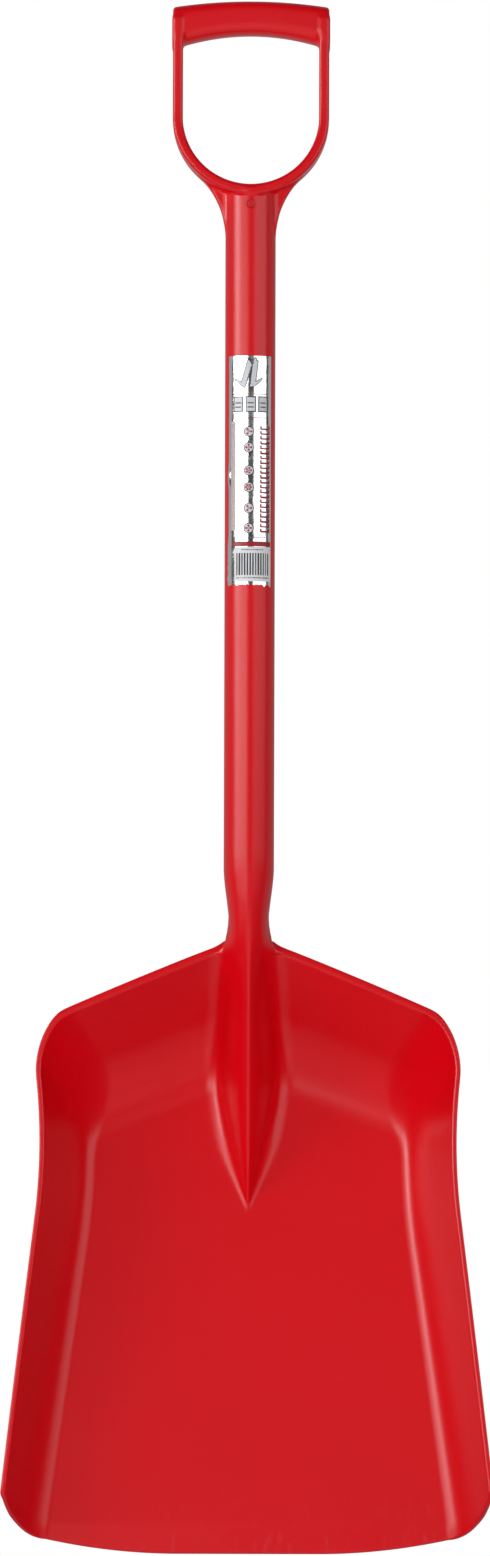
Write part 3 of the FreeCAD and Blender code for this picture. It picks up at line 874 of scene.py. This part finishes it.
def foil_piece():
    """Foil label with a ragged torn foot and a slightly frayed left edge."""
    shares, rises = np.linspace(0, 1, 71), np.linspace(0, 1, 331)
    rise = rises[:, None] + 0 * shares[None, :]
    share = shares[None, :] + 0 * rises[:, None]
    along = FOIL_START + (FOIL_END - FOIL_START) * rise
    fray = smooth_step((232 - along) / 8)
    left = FOIL_LEFT + 0.16 * ripple(0 * along, along, 6, 3.5)
    left -= fray * (1.0 + 1.1 * ripple(0 * along, along, 3, 9.5))
    left -= 0.9 * np.exp(-((along - BLISTER_Y) / 5) ** 2)
    right = FOIL_RIGHT + 0.1 * ripple(0 * along, along, 9, 5.5)
    across = left + (right - left) * share
    torn = 1.4 * ripple(across, 0 * across, 2.6, 2.5) + 0.7 * ripple(across, 0 * across, 0.9, 4.5)
    along = along + torn * (1 - smooth_step((along - FOIL_START) / 4))
    return wrapped_patch("foil_label", across, along, foil_level(across, along), FOIL_SKIN)


def paper_piece():
    """Matt paper label stuck over the foot of the foil, its corners a little rounded."""
    shares, rises = np.linspace(-1, 1, 45), np.linspace(-1, 1, 45)
    share, rise = np.meshgrid(shares, rises)
    half_width, half_height = (PAPER_RIGHT - PAPER_LEFT) / 2, (PAPER_END - PAPER_START) / 2
    corner = 1 - 0.018 * (share * rise) ** 8
    across = (PAPER_LEFT + PAPER_RIGHT) / 2 + half_width * share * corner
    along = (PAPER_START + PAPER_END) / 2 + half_height * rise * corner
    level = foil_level(across, along) + 0.09
    return wrapped_patch("paper_label", across, along, level, 0.08)


class FlatShapes:
    """Flat faces in a label's own plane, across the shaft and along it, in millimetres."""

    def __init__(self):
        self.points = []
        self.faces = []

    def polygon(self, outline):
        start = len(self.points)
        self.points += [tuple(point) for point in outline]
        self.faces.append(list(range(start, len(self.points))))

    def rectangle(self, left, start, width, length):
        end = start + length
        self.polygon([(left, start), (left + width, start), (left + width, end), (left, end)])

    def oval(self, across, along, half_width, half_length, turn=0.0, sides=20):
        angles = np.linspace(0, 2 * math.pi, sides, endpoint=False)
        x, y = half_width * np.cos(angles), half_length * np.sin(angles)
        self.polygon(zip(across + x * math.cos(turn) - y * math.sin(turn),
                         along + x * math.sin(turn) + y * math.cos(turn)))

    def frame(self, left, start, width, length, line):
        """Outline of a rectangle as four bars."""
        self.rectangle(left, start, width, line)
        self.rectangle(left, start + length - line, width, line)
        self.rectangle(left, start + line, line, length - 2 * line)
        self.rectangle(left + width - line, start + line, line, length - 2 * line)

    def ring(self, across, along, outer, inner, sides=28):
        for first in range(sides):
            turns = [2 * math.pi * step / sides for step in (first, first + 1)]
            self.polygon([(across + radius * math.cos(turn), along + radius * math.sin(turn))
                          for radius, turn in ((inner, turns[0]), (outer, turns[0]),
                                               (outer, turns[1]), (inner, turns[1]))])

    def mesh(self, mesh, across, along, turned=False):
        """Faces of a flat mesh, moved to a place and perhaps turned a quarter."""
        start = len(self.points)
        for vertex in mesh.vertices:
            x, y = vertex.co.x, vertex.co.y
            self.points.append((across - y, along + x) if turned else (across + x, along + y))
        self.faces += [[start + corner for corner in face.vertices] for face in mesh.polygons]


def print_piece(name, shapes, lift, material):
    """Flat shapes wrapped round the shaft as ink of real thickness, following the foil."""
    work = bmesh.new()
    corners = [work.verts.new((x, y, 0)) for x, y in shapes.points]
    for face in shapes.faces:
        work.faces.new([corners[corner] for corner in face])
    slice_width = 0.8
    ink_height = 0.00003
    for number in range(-24, 25):
        bmesh.ops.bisect_plane(work, geom=work.verts[:] + work.edges[:] + work.faces[:],
                               plane_co=(number * slice_width, 0, 0), plane_no=(1, 0, 0))
    bmesh.ops.triangulate(work, faces=work.faces)
    bmesh.ops.recalc_face_normals(work, faces=work.faces)
    for face in work.faces:
        if face.normal.z < 0:
            face.normal_flip()
    flat = np.array([vertex.co[:2] for vertex in work.verts])
    placed = on_shaft(flat[:, 0], flat[:, 1], foil_level(flat[:, 0], flat[:, 1]) + lift)
    for vertex, place in zip(work.verts, SHAFT.to_row(placed)):
        vertex.co = place
    mesh = bpy.data.meshes.new(name)
    work.to_mesh(mesh)
    work.free()
    item = bpy.data.objects.new(name, mesh)
    bpy.context.scene.collection.objects.link(item)
    step = item.modifiers.new("ink", "SOLIDIFY")
    step.thickness = ink_height
    step.offset = 1
    apply_modifiers(item)
    item.data.materials.clear()
    item.data.materials.append(material)
    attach(item, ROOT)
    return item


def bars_tree():
    """Row of flat bars along +X, of uneven widths and gaps."""
    tree, given, output = node_tree("bar_row", [
        ("Count", "NodeSocketInt"), ("Step", "NodeSocketFloat"), ("Height", "NodeSocketFloat"),
        ("Least", "NodeSocketFloat"), ("Most", "NodeSocketFloat"), ("Seed", "NodeSocketInt"),
        ("Material", "NodeSocketMaterial")])
    offset = add_node(tree, "ShaderNodeCombineXYZ", links={"X": given.outputs["Step"]})
    line = add_node(tree, "GeometryNodeMeshLine", links={
        "Count": given.outputs["Count"], "Offset": offset.outputs[0]})
    width = add_node(tree, "FunctionNodeRandomValue", {"data_type": "FLOAT"}, {
        2: given.outputs["Least"], 3: given.outputs["Most"], "Seed": given.outputs["Seed"]})
    scale = add_node(tree, "ShaderNodeCombineXYZ", links={
        "X": width.outputs[1], "Y": given.outputs["Height"], "Z": 1.0})
    bar = add_node(tree, "GeometryNodeMeshGrid", links={
        "Size X": 1.0, "Size Y": 1.0, "Vertices X": 2, "Vertices Y": 2})
    placed = add_node(tree, "GeometryNodeInstanceOnPoints", links={
        "Points": line.outputs[0], "Instance": bar.outputs[0], "Scale": scale.outputs[0]})
    finish_tree(tree, output, placed.outputs[0], given.outputs["Material"])
    return tree


def petals_tree():
    """Small discs evenly round a circle."""
    tree, given, output = node_tree("petal_ring", [
        ("Petals", "NodeSocketInt"), ("Radius", "NodeSocketFloat"), ("Petal", "NodeSocketFloat"),
        ("Material", "NodeSocketMaterial")])
    circle = add_node(tree, "GeometryNodeMeshCircle", links={
        "Vertices": given.outputs["Petals"], "Radius": given.outputs["Radius"]})
    petal = add_node(tree, "GeometryNodeMeshCircle", {"fill_type": "NGON"}, {
        "Vertices": 12, "Radius": given.outputs["Petal"]})
    placed = add_node(tree, "GeometryNodeInstanceOnPoints", links={
        "Points": circle.outputs[0], "Instance": petal.outputs[0]})
    finish_tree(tree, output, placed.outputs[0], given.outputs["Material"])
    return tree


def label_prints(inks):
    """Generic marks of the foil label: an ear of grain, ruled lines, discs and plain bars."""
    under, middle, over = 0.05, 0.07, 0.09
    bars, petals = bars_tree(), petals_tree()

    def bar_row(material, **values):
        return grown_mesh(bars, {"Material": material, **values})

    grey, dark, red, pale = inks["grey"], inks["dark"], inks["red"], inks["pale"]
    ear_back, ear = FlatShapes(), FlatShapes()
    for kernel in range(7):
        along = 339.5 + kernel * 2.4
        for side in (-1, 1):
            across = side * (3.4 - 0.22 * kernel) + 0.5 * kernel - 1.5
            lean = -side * math.radians(32) - math.radians(10)
            ear_back.oval(across, along, 1.75, 3.3, lean)
            ear.oval(across, along, 1.2, 2.7, lean)
    ear_back.oval(3.4, 356, 1.5, 2.6, -0.2)
    ear.oval(3.4, 356, 0.95, 2.0, -0.2)
    for leaf in (-1, 1):
        ear_back.oval(-1.5 + leaf * 6.5, 340.5, 1.3, 5.2, -leaf * math.radians(52))
        ear.oval(-1.5 + leaf * 6.5, 340.5, 0.8, 4.5, -leaf * math.radians(52))
    print_piece("ear_outline", ear_back, under, dark)
    print_piece("ear_of_grain", ear, over, pale)

    lines = FlatShapes()
    lines.rectangle(-13.2, 331.9, 27, 0.5)
    lines.rectangle(-13.2, 314.9, 27, 0.45)
    lines.rectangle(-14.0, 222.9, 30.6, 3.5)
    print_piece("red_lines", lines, middle, red)

    blocks, block_faces = FlatShapes(), FlatShapes()
    for left in (-12.6, -3.4, 5.8):
        blocks.frame(left, 319.2, 7.6, 11.4, 0.75)
        block_faces.rectangle(left + 0.55, 319.75, 6.5, 10.3)
        for bar in (3.0, 6.0):
            blocks.rectangle(left + 1.6, 319.4 + bar, 4.4, 0.8)
    print_piece("block_outlines", blocks, over, dark)
    print_piece("block_faces", block_faces, under, pale)

    marks_across = -0.9
    discs, rings, centres = FlatShapes(), FlatShapes(), FlatShapes()
    for number, along in enumerate((305.3, 293.9, 277.4, 265.3, 250.3, 236.0)):
        discs.oval(marks_across, along, 3.4, 3.4)
        rings.ring(marks_across, along, 3.8, 3.15)
        count = 3 + number % 4
        mesh = grown_mesh(petals, {"Petals": count, "Radius": 1.75, "Petal": 0.8, "Material": red})
        centres.mesh(mesh, marks_across, along)
        centres.ring(marks_across, along, 0.75, 0.4, 16)
    print_piece("mark_discs", discs, under, pale)
    print_piece("mark_rings", rings, over, dark)
    print_piece("mark_petals", centres, 0.1, red)

    column = FlatShapes()
    for across, seed in ((8.0, 11), (15.0, 14)):
        edge = bar_row(red, Count=22, Step=3.5, Height=1.2, Least=1.4, Most=3.2, Seed=seed)
        column.mesh(edge, across, 234.5, True)
    column.mesh(bar_row(red, Count=22, Step=3.5, Height=7.4, Least=1.0, Most=1.5, Seed=12), 11.5, 233.6, True)
    print_piece("red_column", column, middle, red)

    small, tint = FlatShapes(), FlatShapes()
    for number in range(4):
        small.mesh(bar_row(grey, Count=44, Step=1.72, Height=0.32, Least=0.5, Most=1.7, Seed=20 + number),
                   -14.4 + number * 0.95, 236.0, True)
    tint.rectangle(-14.9, 234.6, 4.4, 78)
    small.mesh(bar_row(grey, Count=17, Step=1.5, Height=0.7, Least=0.4, Most=1.2, Seed=31), -11.5, 229.3)
    print_piece("small_print_tint", tint, under, inks["tint"])
    print_piece("small_print", small, over, grey)

    code = FlatShapes()
    code.mesh(bar_row(dark, Count=13, Step=1.95, Height=15.8, Least=0.5, Most=1.35, Seed=5), -9.4, 210.2)
    code.mesh(bar_row(dark, Count=12, Step=1.35, Height=0.8, Least=0.5, Most=1.1, Seed=6), -5.5, 220.5)
    code.mesh(bar_row(dark, Count=18, Step=1.4, Height=0.8, Least=0.5, Most=1.1, Seed=7), -9.4, 200.4)
    print_piece("code_bars", code, 0.13, dark)


# ------------------------------------------------------------------ camera, floor and lights

def look_at(item, target):
    back = (item.location - target).normalized()
    item.rotation_mode = "QUATERNION"
    item.rotation_quaternion = back.to_track_quat("Z", "Y")


def add_camera():
    """Straight above the shovel, its image's up along +Y, framed just round the shovel."""
    frame_length = 1.1122
    distance = 15.0
    plane = 0.06
    off_x, off_y = -0.0029, -0.0015
    roll = math.radians(0.166)
    data = bpy.data.cameras.new("camera")
    low, high = CAD_BOX
    data.lens = data.sensor_width * distance / frame_length
    data.clip_start = 1
    data.clip_end = 50
    camera = bpy.data.objects.new("camera", data)
    bpy.context.scene.collection.objects.link(camera)
    camera.location = ((low.x + high.x) / 2 + off_x, (low.y + high.y) / 2 + off_y, plane + distance)
    camera.rotation_euler = (0, 0, roll)
    bpy.context.scene.camera = camera


def area_light(name, location, target, width, length, power):
    data = bpy.data.lights.new(name, "AREA")
    data.shape = "RECTANGLE"
    data.size = width
    data.size_y = length
    data.energy = power
    light = bpy.data.objects.new(name, data)
    bpy.context.scene.collection.objects.link(light)
    light.location = location
    look_at(light, Vector(target))
    return light


# name, place, aim, width, length, power; the fill lights the plastic without a reflection of its own
SOFTBOXES = [("softbox_left", (-1.6, 0.45, 2.0), (0, 0.45, 0.05), 0.6, 2.8, 24),
             ("softbox_low", (-2.45, 1.0, 1.15), (0, 1.0, 0.05), 0.9, 1.3, 24),
             ("softbox_right", (1.75, 0.75, 1.65), (0, 0.75, 0.05), 1.0, 2.8, 14),
             ("softbox_front", (0, -2.6, 1.65), (0, -0.1, 0.1), 2.8, 3.0, 12),
             ("softbox_fill", (0, -1.1, 3.0), (0, -0.2, 0.05), 2.0, 2.0, 35),
             ("softbox_over", (0.35, 1.2, 3.2), (0.1, -0.5, 0.1), 1.3, 0.7, 0.8)]


def add_studio():
    """White floor that shines by itself, softboxes on all sides and a soft room."""
    half, under = 4, -0.0005
    floor_light, room_light = 0.35, 0.05
    points = [(-half, -half, under), (half, -half, under), (half, half, under), (-half, half, under)]
    floor = mesh_object("floor", points, [(0, 1, 2, 3)])
    material = bpy.data.materials.new("floor_white")
    material.use_nodes = True
    tree = material.node_tree
    tree.nodes.clear()
    output = tree.nodes.new("ShaderNodeOutputMaterial")
    glow = tree.nodes.new("ShaderNodeEmission")
    seen = tree.nodes.new("ShaderNodeLightPath")
    level = tree.nodes.new("ShaderNodeMapRange")
    level.inputs["To Min"].default_value = floor_light
    tree.links.new(seen.outputs["Is Camera Ray"], level.inputs["Value"])
    tree.links.new(level.outputs[0], glow.inputs["Strength"])
    tree.links.new(glow.outputs[0], output.inputs[0])
    floor.data.materials.append(material)
    world = bpy.data.worlds.new("studio")
    world.use_nodes = True
    world.node_tree.nodes["Background"].inputs[0].default_value = (1, 1, 1, 1)
    world.node_tree.nodes["Background"].inputs[1].default_value = room_light
    bpy.context.scene.world = world
    for name, location, target, width, length, power in SOFTBOXES:
        light = area_light(name, location, target, width, length, power)
        light.visible_glossy = name != "softbox_fill"
    bpy.context.scene.view_settings.view_transform = "Standard"


# ------------------------------------------------------------------ materials

class Shade:
    """A value that varies over a surface: an output socket that Python operators can use."""

    def __init__(self, tree, socket):
        self.tree = tree
        self.socket = socket

    def maths(self, operation, first, second):
        return shade_node(self.tree, "ShaderNodeMath", {"operation": operation}, {0: first, 1: second})

    def __add__(self, other):
        return self.maths("ADD", self, other)

    def __radd__(self, other):
        return self.maths("ADD", other, self)

    def __sub__(self, other):
        return self.maths("SUBTRACT", self, other)

    def __rsub__(self, other):
        return self.maths("SUBTRACT", other, self)

    def __mul__(self, other):
        return self.maths("MULTIPLY", self, other)

    def __rmul__(self, other):
        return self.maths("MULTIPLY", other, self)


def feed(tree, socket, value):
    if isinstance(value, Shade):
        tree.links.new(value.socket, socket)
    else:
        socket.default_value = value


def shade_node(tree, kind, settings=None, values=None, output=0):
    """Any shader node: its settings first, then the values or links of its sockets."""
    node = tree.nodes.new(kind)
    for label, setting in (settings or {}).items():
        setattr(node, label, setting)
    for label, value in (values or {}).items():
        feed(tree, node.inputs[label], value)
    return Shade(tree, node.outputs[output])


class Finish:
    """A material being made: its principled shader and the patterns that feed it."""

    def __init__(self, name):
        self.material = bpy.data.materials.new(name)
        self.material.use_nodes = True
        self.tree = self.material.node_tree
        self.shader = self.tree.nodes["Principled BSDF"]
        self.place = shade_node(self.tree, "ShaderNodeTexCoord", output="Object")

    def set(self, **values):
        for label, value in values.items():
            feed(self.tree, self.shader.inputs[label.replace("_", " ")], value)

    def mottle(self, waves_per_metre, detail=3.0, stretch=(1, 1, 1)):
        """Soft random pattern from 0 to 1 in the object's own space."""
        placed = shade_node(self.tree, "ShaderNodeMapping", values={"Vector": self.place, "Scale": stretch})
        return shade_node(self.tree, "ShaderNodeTexNoise", values={
            "Vector": placed, "Scale": waves_per_metre, "Detail": detail})

    def spread(self, value, low, high, to_low, to_high):
        """Value carried from one range to another, held at its ends."""
        return shade_node(self.tree, "ShaderNodeMapRange", values={
            "Value": value, "From Min": low, "From Max": high, "To Min": to_low, "To Max": to_high})

    def mix(self, share, first, second):
        """Colour between two, by share."""
        return shade_node(self.tree, "ShaderNodeMix", {"data_type": "RGBA"}, {
            "Factor": share, 6: first, 7: second}, output=2)

    def relief(self, height, distance):
        """Bump from a height pattern, its full height given in metres."""
        normal = shade_node(self.tree, "ShaderNodeBump", values={
            "Height": height, "Distance": distance, "Strength": 1.0})
        self.set(Normal=normal)


def moulded_red():
    """Glossy injection-moulded polypropylene: fine orange peel, flow mottling and light scuffs."""
    finish = Finish("moulded_red")
    cloud = finish.mottle(9, 2)
    hairs = finish.mottle(30, 1, (14, 1, 14))
    along = shade_node(finish.tree, "ShaderNodeSeparateXYZ", values={0: finish.place}, output="Y")
    worn = finish.spread(along, -0.555, -0.47, 1, 0)
    scuffs = finish.spread(hairs, 0.62, 0.72, 0, 1) * worn
    colour = finish.mix(cloud, (0.7, 0.0004, 0.0055, 1), (0.75, 0.0008, 0.007, 1))
    finish.set(Base_Color=finish.mix(scuffs * 0.15, colour, (0.66, 0.03, 0.03, 1)),
               Roughness=finish.spread(finish.mottle(26, 3), 0.3, 0.7, 0.276, 0.296) + scuffs * 0.15)
    finish.relief(finish.mottle(650, 2) - scuffs * 0.5, 0.000005)
    return finish.material


def plug_red():
    """Plug's red, darker and slightly duller than the rest of the moulding."""
    finish = Finish("plug_red")
    finish.set(Base_Color=finish.mix(finish.mottle(300, 3), (0.40, 0.0006, 0.005, 1), (0.5, 0.001, 0.008, 1)),
               Roughness=finish.spread(finish.mottle(500, 2), 0.3, 0.7, 0.34, 0.44))
    finish.relief(finish.mottle(900, 2), 0.00002)
    return finish.material


def silver_foil():
    """Mirror-bright foil, dulled in patches and finely crinkled."""
    finish = Finish("silver_foil")
    finish.set(Base_Color=finish.mix(finish.mottle(55, 3), (0.86, 0.865, 0.88, 1), (0.93, 0.93, 0.94, 1)),
               Metallic=1.0,
               Roughness=finish.spread(finish.mottle(120, 4), 0.35, 0.7, 0.10, 0.22))
    finish.relief(finish.mottle(350, 4, (1, 0.5, 1)), 0.00004)
    return finish.material


def label_paper():
    """Matt pale grey paper with a faint grain."""
    finish = Finish("label_paper")
    finish.set(Base_Color=finish.mix(finish.mottle(160, 4), (0.76, 0.77, 0.79, 1), (0.86, 0.87, 0.89, 1)),
               Roughness=finish.spread(finish.mottle(800, 3), 0.3, 0.7, 0.5, 0.66))
    finish.relief(finish.mottle(1500, 3), 0.00002)
    return finish.material


def ink(name, low, high, roughness=0.35):
    """Printing ink, a little uneven in tone."""
    finish = Finish(name)
    finish.set(Base_Color=finish.mix(finish.mottle(700, 3), (*low, 1), (*high, 1)),
               Roughness=finish.spread(finish.mottle(400, 2), 0.3, 0.7, roughness - 0.05, roughness + 0.08))
    finish.relief(finish.mottle(1200, 2), 0.00001)
    return finish.material


# ------------------------------------------------------------------ the shovel

def finish_piece(item, material, slot, *nodes):
    """Give a finished piece its material and its body, and hide the CAD node that it stands for. The slot is
    not used.
    """
    item.data.materials.clear()
    item.data.materials.append(material)
    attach(item, ROOT)
    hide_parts(*nodes)


RED = moulded_red()
FOIL = silver_foil()
PAPER = label_paper()
INKS = {"red": ink("red_ink", (0.30, 0.004, 0.012), (0.38, 0.012, 0.02)),
        "grey": ink("grey_ink", (0.16, 0.15, 0.17), (0.24, 0.23, 0.25)),
        "dark": ink("dark_ink", (0.02, 0.02, 0.026), (0.045, 0.042, 0.05), 0.5),
        "pale": ink("pale_ink", (0.66, 0.67, 0.7), (0.74, 0.75, 0.78), 0.3),
        "tint": ink("tint_ink", (0.62, 0.50, 0.53), (0.68, 0.58, 0.60), 0.3)}
add_camera()
add_studio()
finish_piece(blade_piece(), RED, "moulding_red", "blade")
finish_piece(shaft_piece(RED), RED, "moulding_red", "shaft")
yoke, bar = grip_pieces()
finish_piece(yoke, RED, "moulding_red", "grip_yoke")
finish_piece(bar, RED, "moulding_red", "hand_bar")
finish_piece(plug_piece(), plug_red(), "moulding_red", "gate_plug")
finish_piece(foil_piece(), FOIL, "label_foil", "shaft_label")
finish_piece(paper_piece(), PAPER, "label_paper", "barcode_label")
label_prints(INKS)
